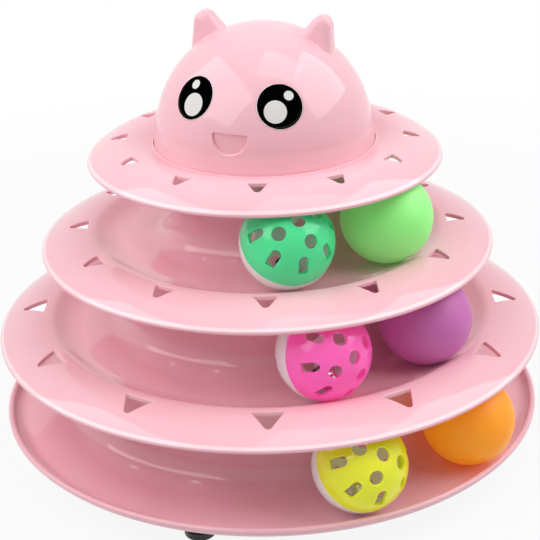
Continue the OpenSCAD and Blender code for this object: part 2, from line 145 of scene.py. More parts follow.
# Cat head
DOME_R = 48.2
DOME_Z = SEAT_Z["cap"] + 6.5
DOME_CENTRE = np.array([0.0, 0.0, DOME_Z])
SKIRT_R = DOME_R + 1.2
SKIRT_Z = SEAT_Z["cap"] + WALL
SKIRT_FILLET_R, SKIRT_FILLET_TURN = 0.5, 75.0
SKIRT_H = 7.3
SKIN_RISE = 3.4
FACE_TURN, FACE_TILT = -1.1, 1.9
EYE_AZ, EYE_EL = 26.9, 30.0
EYE_R = 9.9
EYE_GAP = 0.1
EYE_SEAT_DEPTH = 0.4
EYE_PROUD = 0.2
EYE_CRESCENT_R, EYE_CRESCENT_CUT_R = 9.3, 9.2
MOUTH_W = 15.4
MOUTH_EL = 15.1
MOUTH_STRAIGHT_SHARE = 0.06
MOUTH_TOP_DEPTH, MOUTH_LOW_DEPTH = 0.8, 1.8
MOUTH_CORNER_R, MOUTH_EDGE_R = 0.6, 0.3
EAR_SIDE_X, EAR_FOOT_H = 31.9, 32.0
EAR_FOOT_RUN, EAR_INNER_H = 15.0, 38.0
EAR_TIP_X, EAR_TIP_H = 26.5, 52.1
EAR_TIP_R = 4.4
EAR_FRONT_Y = -4.0
EAR_T = 11.0
EAR_LEAN_BACK = 2.5
EAR_EDGE_R = 2.6
EAR_FILLET = 0.5

# Neck under the cap
NECK_R = DOME_R + WALL - 2 * COLLAR_GAP
NECK_TOP_Z = SEAT_Z["cap"] - COLLAR_H - 0.6
NECK_FLARE_H = 8.0

# Feet
FOOT_REACH = 105.0
FOOT_H = 3.5
BOSS_R = 4.5
STEM_HOLE_R = 2.15
STEM_HOLE_H = 4.3
BOSS_SOFT = 0.4
BOSS_FLARE = ((1.2, 0.9), (0.35, 1.3), (0.0, 2.2))  # distance out, depth under the tray's floor
BOSS_COLUMNS = 48

# Lattice balls. Turns are the tilt of the pole from +Z, its heading and the roll about it
LATTICE_WALL = 1.6
LATTICE_TURNS = {"green": (42.5, -52.3, 20.3), "pink": (75.2, -34.2, 22.2), "yellow": (51.1, -39.1, 54.5)}
LATTICE_HOLE_R = 3.0
LATTICE_COLUMNS = 160
LATTICE_RING_TILT, LATTICE_RING_COUNT = 29.0, 4
SLOT_W, SLOT_L = 4.2, 8.0
SLOT_TILT, SLOT_COUNT = 55.6, 8
SLOT_CORNER_R = 0.5
SEAM_RISE = 0.5

# Plain balls
PLAIN_TURNS = {"mint": (70, 20, 0), "purple": (80, 12, 0), "orange": (60, 200, 0)}
PLAIN_COLUMNS = 144
SEAM_DEPTH_RATE, SEAM_FROM_TILT = 0.05, 89.0

MERGE_REACH = 0.002


class Shape:
    """Points and faces of one piece, in millimetres."""

    def __init__(self):
        self.points, self.faces, self.count = [], [], 0

    def add(self, points, faces):
        self.faces += [[i + self.count for i in face] for face in faces]
        self.points.append(np.asarray(points, float).reshape(-1, 3))
        self.count += len(self.points[-1])

    def grid(self, rows, closed=False):
        """Quads between rows of points. Closed rows join their last point to their first."""
        rows = np.asarray(rows, float)
        index = np.arange(rows.shape[0] * rows.shape[1]).reshape(rows.shape[:2])
        if closed:
            index = np.concatenate([index, index[:, :1]], 1)
        quads = np.stack([index[:-1, :-1], index[:-1, 1:], index[1:, 1:], index[1:, :-1]], -1)
        self.add(rows, quads.reshape(-1, 4).tolist())

    def placed(self, matrix):
        """The same shape, turned and moved by a matrix."""
        matrix = np.array(matrix)
        turned = Shape()
        turned.add(np.concatenate(self.points) @ matrix[:3, :3].T + matrix[:3, 3], self.faces)
        return turned

    def join(self, *others):
        for other in others:
            self.add(np.concatenate(other.points), other.faces)


def made(name, shape, finish, body, replaced, sharp=38):
    """A Blender object of the shape, which rides on a body and stands for the solid named."""
    mesh = bpy.data.meshes.new(name)
    mesh.from_pydata((np.concatenate(shape.points) * MM).tolist(), [], shape.faces)
    work = bmesh.new()
    work.from_mesh(mesh)
    bmesh.ops.remove_doubles(work, verts=work.verts, dist=MERGE_REACH * MM)
    bmesh.ops.dissolve_degenerate(work, edges=work.edges, dist=MERGE_REACH * MM)
    bmesh.ops.recalc_face_normals(work, faces=work.faces)
    work.to_mesh(mesh)
    work.free()
    mesh.polygons.foreach_set("use_smooth", [True] * len(mesh.polygons))
    mesh.set_sharp_from_angle(angle=math.radians(sharp))
    mesh.materials.append(finish)
    piece = bpy.data.objects.new(name, mesh)
    bpy.context.scene.collection.objects.link(piece)
    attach(piece, body)
    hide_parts(replaced)
    return piece


# Profiles of the mouldings: paths of radius and height, from the outer edge inwards

def polar(radius, azimuth, height):
    """Points at radii, azimuths and heights round the tower's axis."""
    a = np.radians(azimuth)
    x, y, z = np.broadcast_arrays(radius * np.sin(a), -radius * np.cos(a), height)
    return np.stack([x, y, z], -1)


def revolved(path, azimuths):
    """Rows of points: a path of radius and height turned round the axis."""
    return polar(path[:, None, 0], azimuths[None, :], path[:, None, 1])


def arc(centre, radius, start, end, steps):
    a = np.radians(np.linspace(start, end, steps + 1))
    return np.stack([centre[0] + radius * np.cos(a), centre[1] + radius * np.sin(a)], -1)


def along(path):
    """Distance of each point of a path from its start."""
    return np.concatenate([[0], np.cumsum(np.linalg.norm(np.diff(path, axis=0), axis=1))])


def softened(path, reach, step=0.2):
    """The path with its corners rounded over a reach, in short even steps."""
    far = along(path)
    places = np.linspace(0, far[-1], int(far[-1] / step) + 1)
    even = np.stack([np.interp(places, far, path[:, k]) for k in (0, 1)], -1)
    half = max(int(reach / step / 2), 1)
    for _ in range(2):
        i = np.arange(len(even))
        width = np.minimum(np.minimum(i, i[::-1]), half)
        sums = np.concatenate([np.zeros((1, 2)), np.cumsum(even, 0)])
        even = (sums[i + width + 1] - sums[i - width]) / (2 * width + 1)[:, None]
    return even


def thinned(path, turn, reach=4.0):
    """Fewer points: one for each few degrees of turn, or for each stretch."""
    steps = np.diff(path, axis=0)
    heading = np.unwrap(np.arctan2(steps[:, 1], steps[:, 0]))
    far = along(path)
    chosen = [0]
    for i in range(1, len(path) - 1):
        if abs(heading[i] - heading[chosen[-1]]) > math.radians(turn) or far[i] - far[chosen[-1]] > reach:
            chosen.append(i)
    return path[chosen + [len(path) - 1]]


def under(path):
    """The path of a wall's other face, to the left of its first one, without the loops of tight bends."""
    step = np.gradient(path, axis=0)
    step /= np.linalg.norm(step, axis=1)[:, None]
    offset = path + WALL * np.stack([-step[:, 1], step[:, 0]], -1)
    offset[:, 0] = np.maximum(offset[:, 0], 0)
    kept = [offset[0]]
    for point, ahead in zip(offset[1:], step[1:]):
        if np.dot(point - kept[-1], ahead) > 0:
            kept.append(point)
    return np.array(kept)


def brim(rim_r, crest_z, drop, curve_w):
    s = np.linspace(0, 1, 41)
    return np.stack([rim_r - s * curve_w, crest_z - drop * (1 - s) ** 2], -1)


def valley(from_r, crest_z, to_r, low_z):
    """The cap's brim from its crest down to the crease round the dome's skirt."""
    s = np.linspace(0, 1, 31)[1:-1]
    return np.stack([from_r - s * (from_r - to_r), crest_z - (crest_z - low_z) * s ** 2], -1)


def lip(level, crest_z):
    """Roll down from the brim's crest, and the dish from there to the middle of the track."""
    crest_r = LIP_R[level] + LIP_ROLL_REACH
    slope = 2 * math.degrees(math.atan((crest_z - FLOOR_Z[level]) / (crest_r - TRACK_R[level])))
    dish_r = (crest_r - TRACK_R[level]) / math.sin(math.radians(slope)) - LIP_ROLL_R
    roll = arc((crest_r, crest_z - LIP_ROLL_R), LIP_ROLL_R, 90, 90 + slope, 12)
    dish = arc((TRACK_R[level], FLOOR_Z[level] + dish_r), dish_r, slope - 90, -90, 20)
    return np.concatenate([roll, dish[1:]])


def cove(level):
    return arc((HUB_R[level] + COVE_R, FLOOR_Z[level] + COVE_R), COVE_R, 270, 180, 30)


def rim_end(top, low, steps=8):
    """Half circle that closes a wall's edge, from its upper face to its lower one."""
    centre = (top + low) / 2
    out = top - centre
    ahead = np.array([out[1], -out[0]])
    a = np.linspace(0, np.pi, steps + 1)[:, None]
    return centre + out * np.cos(a) + ahead * np.sin(a)


def rounded_triangle(width, length):
    """Outline and outward directions of a peep hole whose point is along +X, in 44 points."""
    half = math.degrees(math.atan(width / 2 / length))
    reach = HOLE_CORNER_R / math.tan(math.radians(45 - half / 2))
    point = np.array([length - HOLE_POINT_R / math.sin(math.radians(half)), 0])
    low = np.array([HOLE_CORNER_R, reach - width / 2])
    high = low * [1, -1]
    sweep = 90 + half
    arcs = [(low, HOLE_CORNER_R, 180 + sweep / 2, 180 + sweep, 4),
            (point, HOLE_POINT_R, half - 90, 90 - half, 9),
            (high, HOLE_CORNER_R, 180 - sweep, 180, 7),
            (low, HOLE_CORNER_R, 180, 180 + sweep / 2, 4)]
    straights = [4, 4, 16]
    points, normals = [], []
    for k, (centre, r, start, end, count) in enumerate(arcs):
        a = np.radians(np.linspace(start, end, count))
        out = np.stack([np.cos(a), np.sin(a)], -1)
        points.append(centre + r * out)
        normals.append(out)
        if k < len(straights):
            after, after_r, a = arcs[k + 1][0], arcs[k + 1][1], math.radians(arcs[k + 1][2])
            there = after + after_r * np.array([math.cos(a), math.sin(a)])
            s = np.linspace(0, 1, straights[k] + 1)[1:-1, None]
            points.append(points[-1][-1] * (1 - s) + there * s)
            normals.append(np.repeat(out[-1:], len(s), 0))
    return np.concatenate(points)[:-1], np.concatenate(normals)[:-1]


def edge_rounding(r, steps=4):
    """Distance out from an edge and depth below a face of each point of the edge's rounding."""
    a = np.linspace(0, np.pi / 2, steps + 1)
    return [(r * (1 - math.sin(x)), r * (1 - math.cos(x))) for x in a]


class Moulding(Shape):
    """A wall turned round the tower's axis along a path, with peep holes through its brim.

    A hole is given by the radius of its inner side, its width and its length."""

    COLUMNS = 192
    SIDE_STEPS = 6
    RINGS = 5
    PATH_SOFT, UNDER_SOFT = 0.8, 3.0
    PATH_TURN, UNDER_TURN = 4, 6

    def __init__(self, path, first_az=0.0, skin_z=None, hole=None):
        super().__init__()
        self.path = softened(np.asarray(path, float), self.PATH_SOFT)
        self.under = softened(under(self.path), self.UNDER_SOFT)
        if skin_z is not None:
            top = np.argmax((self.path[:, 1] > skin_z) & (self.path[:, 0] < DOME_R))
            last = [math.sqrt(DOME_R ** 2 - (skin_z - DOME_Z) ** 2), skin_z]
            self.path = np.concatenate([self.path[:top], [last]])
        self.azimuths = first_az + np.arange(self.COLUMNS) * 360 / self.COLUMNS
        self.lathe(rim_end(self.path[0], self.under[0]))
        if skin_z is None:
            self.lathe(np.array([self.path[-1], self.under[-1]]))
        if hole is None:
            self.lathe(thinned(self.path, self.PATH_TURN))
            self.lathe(thinned(self.under, self.UNDER_TURN))
        else:
            self.pierced(*hole)

    def lathe(self, path):
        self.grid(revolved(path, self.azimuths), closed=True)

    def pierced(self, inner_r, width, length):
        outline, normals = rounded_triangle(width, length)
        outline = outline + [inner_r, 0]
        band = (outline[:, 0].max() + HOLE_MARGIN, inner_r - HOLE_MARGIN)
        sheet = []
        for path, sign, turn in ((self.path, -1, self.PATH_TURN), (self.under, 1, self.UNDER_TURN)):
            outer = path[path[:, 0] > band[0]]
            inner = path[np.argmax(path[:, 0] < band[1]):]
            region = path[:len(path) - len(inner) + 5][len(outer) - 5:]
            region = region[np.argsort(region[:, 0])]
            ends = [(r, np.interp(r, region[:, 0], region[:, 1])) for r in band]
            self.lathe(thinned(np.concatenate([outer, [ends[0]]]), turn))
            self.lathe(thinned(np.concatenate([[ends[1]], inner]), turn))
            sheet.append(self.hole_sheet(region, sign, outline, normals, band))
        local = np.array(sheet[0][::-1] + sheet[1])
        for i in range(HOLE_COUNT):
            a = math.radians(self.azimuths[0] + (i + 0.5) * 360 / HOLE_COUNT)
            x = local[..., 0] * math.sin(a) + local[..., 1] * math.cos(a)
            y = -local[..., 0] * math.cos(a) + local[..., 1] * math.sin(a)
            self.grid(np.stack([x, y, local[..., 2]], -1), closed=True)

    def hole_sheet(self, region, sign, outline, normals, band):
        """Rings of points from a hole's edge out to the borders of its sector of the brim."""
        half = 180 / HOLE_COUNT
        across = np.linspace(-half, half, self.COLUMNS // HOLE_COUNT + 1)
        side = np.linspace(band[1], band[0], self.SIDE_STEPS + 1)
        mid = self.SIDE_STEPS // 2
        border = np.array(
            [(r, -half) for r in side[mid:-1]] + [(band[0], a) for a in across[:-1]]
            + [(r, half) for r in side[:0:-1]] + [(band[1], a) for a in across[:0:-1]]
            + [(r, -half) for r in side[:mid]])
        a = np.radians(border[:, 1])
        border = np.stack([border[:, 0] * np.cos(a), border[:, 0] * np.sin(a)], -1)
        rings = [(outline + normals * out, depth) for out, depth in reversed(edge_rounding(HOLE_EDGE_R))]
        wide = outline + normals * (2 * HOLE_EDGE_R)
        for k in range(self.RINGS + 1):
            s = (k / self.RINGS) ** 1.2
            rings.append((wide * (1 - s) + border * s, 0.0))
        sheet = []
        for xy, depth in rings:
            z = np.interp(np.hypot(xy[:, 0], xy[:, 1]), region[:, 0], region[:, 1])
            sheet.append(np.column_stack([xy, z + sign * depth]))
        return sheet

    def arc_block(self, inner_r, outer_r, low_z, high_z, first, last, soft=0.25):
        """A bar bent round the axis, with softened upper edges."""
        section = np.array([[inner_r, low_z], [inner_r, high_z - soft], [inner_r + soft, high_z],
                            [outer_r - soft, high_z], [outer_r, high_z - soft], [outer_r, low_z]])
        azimuths = np.linspace(first, last, max(int((last - first) / 2), 4) + 1)
        rows = revolved(section, azimuths)
        self.grid(rows)
        for end in (0, -1):
            self.add(rows[:, end], [list(range(len(section)))])
        self.grid(rows[[0, -1]])

    def crown(self, hub_r, seat_z):
        """Top of a hub, between the notches that take the keys of the level above."""
        notch = math.degrees((KEY_W / 2 + COLLAR_GAP) / hub_r)
        for i in range(KEY_COUNT):
            first = i * 360 / KEY_COUNT + notch
            last = first + 360 / KEY_COUNT - 2 * notch
            self.arc_block(hub_r - WALL, hub_r, seat_z - NOTCH_H, seat_z, first, last)

    def collar(self, hub_r, seat_z):
        """Collar under a level, which stands in the hub below, with its keys."""
        outer_r = hub_r - WALL - COLLAR_GAP
        inner_r = outer_r - COLLAR_WALL
        low_z = seat_z - COLLAR_H
        top_z = seat_z + WALL / 2
        soft_z = low_z + COLLAR_SOFT
        self.lathe(np.array([[outer_r, top_z], [outer_r, soft_z], [outer_r - COLLAR_SOFT, low_z],
                             [inner_r + COLLAR_SOFT, low_z], [inner_r, soft_z], [inner_r, top_z]]))
        half = math.degrees(KEY_W / 2 / hub_r)
        for i in range(KEY_COUNT):
            a = i * 360 / KEY_COUNT
            self.arc_block(outer_r - COLLAR_WALL / 2, hub_r - COLLAR_GAP, seat_z - KEY_H, top_z,
                           a - half, a + half)


def track_ring(level):
    crest_z = FLOOR_Z[level] + CREST_H[level]
    hub_r = HUB_R[level]
    rim_r = LIP_R[level] + BRIM_W
    if level == "lower":
        crown_r, seat_z, below_r = hub_r, SEAT_Z["upper"], HUB_R["tray"]
        hub = [[hub_r, seat_z - NOTCH_H]]
    else:
        crown_r, seat_z, below_r = NECK_R, SEAT_Z["cap"], HUB_R["lower"]
        hub = [[hub_r, NECK_TOP_Z - NECK_FLARE_H], [NECK_R, NECK_TOP_Z], [NECK_R, seat_z - NOTCH_H]]
    outer = brim(rim_r, crest_z, BRIM_DROP, BRIM_CURVE_W)
    path = np.concatenate([outer, lip(level, crest_z), cove(level), hub])
    hole = (rim_r - HOLE_INSET[level], HOLE_W[level], HOLE_L[level])
    ring = Moulding(path, HOLE_AZ[level] - 180 / HOLE_COUNT, hole=hole)
    ring.crown(crown_r, seat_z)
    ring.collar(below_r, SEAT_Z[level])
    return ring


def base_tray():
    centre_r, edge_z = TRAY_BEAD_CENTRE
    rim_r = centre_r - WALL / 2
    a = np.radians(np.linspace(0, 90, 31))
    wall = np.stack([rim_r - TRAY_EDGE_W * (1 - np.cos(a)),
                     edge_z - (edge_z - TRAY_FLOOR_Z) * np.sin(a)], -1)
    path = np.concatenate([wall, cove("tray"), [[HUB_R["tray"], SEAT_Z["lower"] - NOTCH_H]]])
    tray = Moulding(path)
    tray.lathe(arc(TRAY_BEAD_CENTRE, TRAY_BEAD_R, 0, 360, 20))
    tray.crown(HUB_R["tray"], SEAT_Z["lower"])
    top_z = TRAY_FLOOR_Z - WALL / 2
    profile = [(BOSS_R + out, top_z - depth) for out, depth in BOSS_FLARE]
    profile += [(BOSS_R, FOOT_H + BOSS_SOFT), (BOSS_R - BOSS_SOFT, FOOT_H),
                (STEM_HOLE_R + BOSS_SOFT / 2, FOOT_H), (STEM_HOLE_R, FOOT_H + BOSS_SOFT / 2),
                (STEM_HOLE_R, FOOT_H + STEM_HOLE_H), (0, FOOT_H + STEM_HOLE_H)]
    round_az = np.arange(BOSS_COLUMNS) * 360 / BOSS_COLUMNS
    for azimuth in range(0, 360, 90):
        place = polar(FOOT_REACH, azimuth, 0)
        tray.grid(revolved(np.array(profile), round_az) + place, closed=True)
    return tray


# Skins of spheres, laid out flat round their pole, with holes and recesses cut from them

def flat(points):
    """Places of directions on a plane, where the distance from the centre is the tilt from +Z."""
    unit = points / np.linalg.norm(points, axis=1)[:, None]
    across = np.hypot(unit[:, 0], unit[:, 1])
    tilt = np.arctan2(across, unit[:, 2])
    return unit[:, :2] * (tilt / np.maximum(across, 1e-9))[:, None]


def on_sphere(places, radius):
    tilt = np.hypot(places[:, 0], places[:, 1])
    return radius * np.column_stack([places * np.sinc(tilt / np.pi)[:, None], np.cos(tilt)])


def inside(places, loop):
    a, b = loop[None], np.roll(loop, -1, 0)[None]
    x, y = places[:, None, 0], places[:, None, 1]
    rise = b[..., 1] - a[..., 1]
    rise = np.where(rise == 0, 1e-12, rise)
    met_x = (b[..., 0] - a[..., 0]) * (y - a[..., 1]) / rise + a[..., 0]
    cross = ((a[..., 1] > y) != (b[..., 1] > y)) & (x < met_x)
    return cross.sum(1) % 2 == 1


def skin(edge, loops, radius, step):
    """Triangles of a sphere's skin, inside an edge loop and outside the loops cut from it."""
    edge = flat(edge)
    loops = [flat(loop) for loop in loops]
    tilt = np.hypot(edge[:, 0], edge[:, 1]).min()
    rings = int(tilt * radius / step)
    loose = [np.zeros((1, 2))]
    for k in range(1, rings):
        t = tilt * k / rings
        count = max(int(2 * math.pi * math.sin(t) * radius / step), 6)
        a = (np.arange(count) + (k % 2) / 2) * 2 * math.pi / count
        loose.append(t * np.stack([np.cos(a), np.sin(a)], -1))
    loose = np.concatenate(loose)
    clear = np.ones(len(loose), bool)
    for loop in loops:
        clear &= ~inside(loose, loop)
        clear &= np.linalg.norm(loose[:, None] - loop[None], axis=2).min(1) > 0.6 * step / radius
    loose = loose[clear]
    fixed, edges = [], []
    for loop in [edge] + loops:
        first = sum(len(f) for f in fixed)
        fixed.append(loop)
        edges += [(first + i, first + (i + 1) % len(loop)) for i in range(len(loop))]
    given = np.concatenate(fixed + [loose])
    places, _, faces, *_ = delaunay_2d_cdt([Vector(p) for p in given.tolist()], edges, [], 0, 1e-7, False)
    places = np.array([tuple(p) for p in places])
    faces = np.array([list(f) for f in faces])
    centres = places[faces].mean(1)
    kept = np.ones(len(faces), bool)
    for loop in loops:
        kept &= ~inside(centres, loop)
    shape = Shape()
    shape.add(on_sphere(places, radius), faces[kept].tolist())
    return shape


def axes(azimuth, elevation):
    """Right, up and outward directions at a place on the dome, seen from outside."""
    a, e = math.radians(azimuth), math.radians(elevation)
    out = np.array([math.cos(e) * math.sin(a), -math.cos(e) * math.cos(a), math.sin(e)])
    right = np.array([math.cos(a), math.sin(a), 0.0])
    return right, np.cross(out, right), out


def face_axes(azimuth, elevation):
    """The same on the face, which sits a little turned and tilted on the dome."""
    turn = Matrix.Rotation(math.radians(FACE_TURN), 3, "Z")
    placed = turn @ Matrix.Rotation(math.radians(FACE_TILT), 3, "Y")
    return tuple(np.array(placed @ Vector(way)) for way in axes(azimuth, elevation))


def lifted(at, outline, radius):
    """A flat outline carried along its axis to a sphere's surface."""
    right, up, out = at
    height = np.sqrt(radius ** 2 - (outline ** 2).sum(1))
    return outline[:, :1] * right + outline[:, 1:] * up + height[:, None] * out


def rounded(arcs, spacing):
    """Even points and outward directions of a closed outline of arcs joined by straight lines."""
    dense = np.concatenate([arc(centre, r, start, end, 16) for centre, r, start, end in arcs])
    dense = np.concatenate([dense, dense[:1]])
    far = along(dense)
    places = np.linspace(0, far[-1], int(far[-1] / spacing) + 1)[:-1]
    points = np.stack([np.interp(places, far, dense[:, k]) for k in (0, 1)], -1)
    step = np.roll(points, -1, 0) - np.roll(points, 1, 0)
    step /= np.linalg.norm(step, axis=1)[:, None]
    return points, np.stack([step[:, 1], -step[:, 0]], -1)


def sunk(shape, at, outline, normals, profile, radius, floor=()):
    """Edge and wall of a hole or recess. A profile step is a distance out and a height over the sphere.

    The floor is a list of shares to which the last ring shrinks."""
    rows = [lifted(at, outline + normals * out, radius + height) for out, height in profile]
    out, height = profile[-1]
    rows += [lifted(at, (outline + normals * out) * share, radius + height) for share in floor]
    shape.grid(rows, closed=True)
    return rows[0], rows[len(profile) - 1]


def disc_outline(r, spacing):
    return rounded([((0, 0), r, 0, 360)], spacing)


def mouth():
    """Rings of points of the mouth: a half disc, straight on top, whose floor stands nearly upright."""
    r, soft = MOUTH_W / 2, MOUTH_CORNER_R
    drop = MOUTH_STRAIGHT_SHARE * MOUTH_W
    corner_x = math.sqrt((r - soft) ** 2 - (drop - soft) ** 2)
    lean = math.degrees(math.asin((drop - soft) / (r - soft)))
    arcs = [((0, -drop), r, 180 - lean, 360 + lean), ((corner_x, -soft), soft, lean, 90),
            ((-corner_x, -soft), soft, 90, 180 - lean)]
    outline, normals = rounded(arcs, 0.6)
    top_z = DOME_R * math.sin(math.radians(MOUTH_EL))
    outline = outline + [0, top_z]
    at = face_axes(0, 0)
    heights = np.array([top_z, top_z - drop - r])
    floor_r = np.sqrt(DOME_R ** 2 - heights ** 2) - [MOUTH_TOP_DEPTH, MOUTH_LOW_DEPTH]

    def floor_reach(places):
        level_r = np.interp(places[:, 1], heights[::-1], floor_r[::-1])
        return np.hypot(level_r, places[:, 1])

    rows = [lifted(at, outline + normals * out, DOME_R - depth) for out, depth in edge_rounding(MOUTH_EDGE_R)]
    for inwards, share in ((0, 0.5), (0, 0.75), (0.04, 0.9), (0.14, 0.98), (0.3, 1.0)):
        places = outline - normals * inwards
        rows.append(lifted(at, places, DOME_R - share * (DOME_R - floor_reach(places))))
    centre = np.array([0, top_z - drop - r / 2])
    for share in (0.75, 0.5, 0.25, 0.01):
        places = centre + (outline - centre) * share
        rows.append(lifted(at, places, floor_reach(places)))
    return rows


class Ear(Shape):
    """One ear, to the right of the face: rounded lines over its thickness, two flat faces and a fillet."""

    SLOPE_STEPS, TIP_STEPS, SIDE_STEPS = 6, 16, 7
    ROUND_STEPS, FLANK_STEPS, FACE_ROWS = 7, 4, 5

    def __init__(self):
        super().__init__()
        turns = np.radians(np.linspace(0, 90, self.ROUND_STEPS + 1))
        depths = EAR_EDGE_R * (1 - np.sin(turns))
        ins = EAR_EDGE_R * (1 - np.cos(turns))
        flank = np.linspace(EAR_EDGE_R, EAR_T - EAR_EDGE_R, self.FLANK_STEPS + 1)[1:-1]
        layers = (list(zip(ins, depths)) + [(y, 0.0) for y in flank]
                  + [(EAR_T - y, d) for y, d in zip(ins[::-1], depths[::-1])])
        tip = np.array([EAR_TIP_X, EAR_TIP_H - EAR_TIP_R])
        sides = [self.tangent(tip, np.array(foot), turn) for foot, turn in
                 (((EAR_FOOT_RUN, EAR_INNER_H), -1), ((EAR_SIDE_X - EAR_EDGE_R, EAR_FOOT_H), 1))]
        lines, feet = [], []
        for back, d in layers:
            starts = [tip + (EAR_TIP_R - d) * normal for normal, _ in sides]
            foot = [self.foot(start, down, back) for start, (_, down) in zip(starts, sides)]
            lows = [place - EAR_FILLET * down for place, (_, down) in zip(foot, sides)]
            s = np.linspace(0, 1, self.SLOPE_STEPS + 1)[:-1, None]
            v = np.linspace(0, 1, self.SIDE_STEPS + 1)[1:, None]
            turned = [math.degrees(math.atan2(normal[1], normal[0])) for normal, _ in sides]
            top = arc(tip, EAR_TIP_R - d, *turned, self.TIP_STEPS)
            line = np.concatenate([lows[0] * (1 - s) + starts[0] * s, top, starts[1] * (1 - v) + lows[1] * v])
            lines.append(self.set_back(line, back))
            feet.append(self.set_back(np.array(foot), back))
        self.grid(lines)
        count = len(lines[0])
        loop, lows = [], []
        for layer, order in ((0, range(count)), (-1, range(count - 1, -1, -1))):
            ends = [math.atan2(foot[2], foot[0]) for foot in feet[layer]]
            t = np.linspace(0, 1, count)
            turned = ends[0] + (ends[1] - ends[0]) * t
            ways = np.stack([np.cos(turned), np.sin(turned)], -1)
            base = np.array([self.on_dome(way, layers[layer][0]) for way in ways])
            rise = np.stack([-(1 - t) * sides[0][1][0], -(1 - t) * sides[0][1][1] + t], -1)
            rise /= np.linalg.norm(rise, axis=1)[:, None]
            low = base + EAR_FILLET * np.column_stack([rise[:, 0], 0 * t, rise[:, 1]])
            low[0], low[-1] = lines[layer][0], lines[layer][-1]
            s = np.linspace(0, 1, self.FACE_ROWS + 1)[:, None, None]
            self.grid(low[None] * (1 - s) + lines[layer][None] * s)
            loop += [base[i] for i in order]
            lows += [low[i] for i in order]
            between = range(1, len(lines) - 1) if layer == 0 else range(len(lines) - 2, 0, -1)
            end = 1 if layer == 0 else 0
            loop += [feet[i][end] for i in between]
            lows += [lines[i][-end] for i in between]
        loop, lows = np.array(loop), np.array(lows)
        step = np.roll(loop, -1, 0) - np.roll(loop, 1, 0)
        out = np.cross(step, loop)
        out /= np.linalg.norm(out, axis=1)[:, None]
        out *= np.sign(np.sum(out * (loop - loop.mean(0)), 1).mean())
        self.border = loop + EAR_FILLET * out
        self.border *= (DOME_R / np.linalg.norm(self.border, axis=1))[:, None]
        s = np.linspace(0, 1, 6)[:, None, None]
        self.grid(self.border * (1 - s) ** 2 + 2 * loop * s * (1 - s) + lows * s ** 2, closed=True)

    @staticmethod
    def tangent(tip, foot, turn):
        """Outward and downward directions of the line that touches the tip's round and a foot's round."""
        run = foot - tip
        a = math.atan2(run[1], run[0]) + turn * math.acos((EAR_TIP_R - EAR_EDGE_R) / np.linalg.norm(run))
        return np.array([math.cos(a), math.sin(a)]), np.array([math.sin(a), -math.cos(a)]) * turn

    @staticmethod
    def depth(height, back):
        """Place along Y of a point at a height, some way back from the front at the ear's foot."""
        rise = (height - EAR_INNER_H) / (EAR_TIP_H - EAR_TIP_R - EAR_INNER_H)
        return EAR_FRONT_Y + back + EAR_LEAN_BACK * rise * (1 - back / EAR_T)

    def set_back(self, line, back):
        return np.column_stack([line[:, 0], self.depth(line[:, 1], back), line[:, 1]])

    def foot(self, start, down, back):
        """Where a side's line meets the dome."""
        place = start
        for _ in range(12):
            reach = math.sqrt(DOME_R ** 2 - self.depth(place[1], back) ** 2)
            b = np.dot(start, down)
            place = start + (-b - math.sqrt(b * b - (np.dot(start, start) - reach ** 2))) * down
        return place

    def on_dome(self, way, back):
        """Point of the dome in a direction across and up, on a face of the ear."""
        place = DOME_R * way
        for _ in range(12):
            place = math.sqrt(DOME_R ** 2 - self.depth(place[1], back) ** 2) * way
        return self.set_back(place[None], back)[0]


def cat_head_cap():
    """Brim and skirt turned round the axis, with the dome's skin, ears, eye seats and mouth set on them."""
    seat_z = SEAT_Z["cap"]
    crest_z = seat_z + CREST_H["cap"]
    start = math.asin((SKIRT_Z + SKIRT_H - DOME_Z) / DOME_R)
    fillet = np.radians(np.linspace(0, SKIRT_FILLET_TURN, 12))
    fillet_in, fillet_up = 1 - np.sin(fillet), 1 - np.cos(fillet)
    rise = np.linspace(start, np.pi / 2, 60)
    path = np.concatenate([
        brim(CAP_RIM_R, crest_z, CAP_DROP, CAP_CURVE_W),
        valley(CAP_RIM_R - CAP_CURVE_W, crest_z, SKIRT_R + SKIRT_FILLET_R, SKIRT_Z),
        np.stack([SKIRT_R + SKIRT_FILLET_R * fillet_in, SKIRT_Z + SKIRT_FILLET_R * fillet_up], -1),
        np.stack([DOME_R * np.cos(rise), DOME_Z + DOME_R * np.sin(rise)], -1)])
    skin_z = DOME_Z + DOME_R * math.sin(math.radians(SKIN_RISE))
    hole = (CAP_RIM_R - HOLE_INSET["cap"], HOLE_W["cap"], HOLE_L["cap"])
    cap = Moulding(path, HOLE_AZ["cap"] - 180 / HOLE_COUNT, skin_z, hole)
    cap.collar(NECK_R, seat_z)
    inner_r = NECK_R - WALL - COLLAR_GAP - COLLAR_WALL
    top_z = SKIRT_Z + WALL / 2
    cap.lathe(np.array([[NECK_R, top_z], [NECK_R, seat_z], [inner_r, seat_z], [inner_r, top_z]]))
    head = Shape()
    loops = []
    for side in (-1, 1):
        outline, normals = disc_outline(EYE_R + EYE_GAP, 1.3)
        profile = [(0.16, 0), (0.05, -0.03), (0, -0.12), (0, -EYE_SEAT_DEPTH)]
        at = face_axes(side * EYE_AZ, EYE_EL)
        seat = sunk(head, at, outline, normals, profile, DOME_R, (0.7, 0.35, 0.01))
        loops.append(seat[0])
    rows = mouth()
    head.grid(rows, closed=True)
    loops.append(rows[0])
    ear = Ear()
    for side in (-1, 1):
        flip = Matrix.Diagonal((side, 1, 1, 1))
        head.join(ear.placed(flip))
        loops.append(ear.border * [side, 1, 1])
    edge = polar(math.sqrt(DOME_R ** 2 - (skin_z - DOME_Z) ** 2), cap.azimuths, skin_z - DOME_Z)
    head.join(skin(edge, loops, DOME_R, 2.0))
    cap.join(head.placed(Matrix.Translation(DOME_CENTRE)))
    return cap


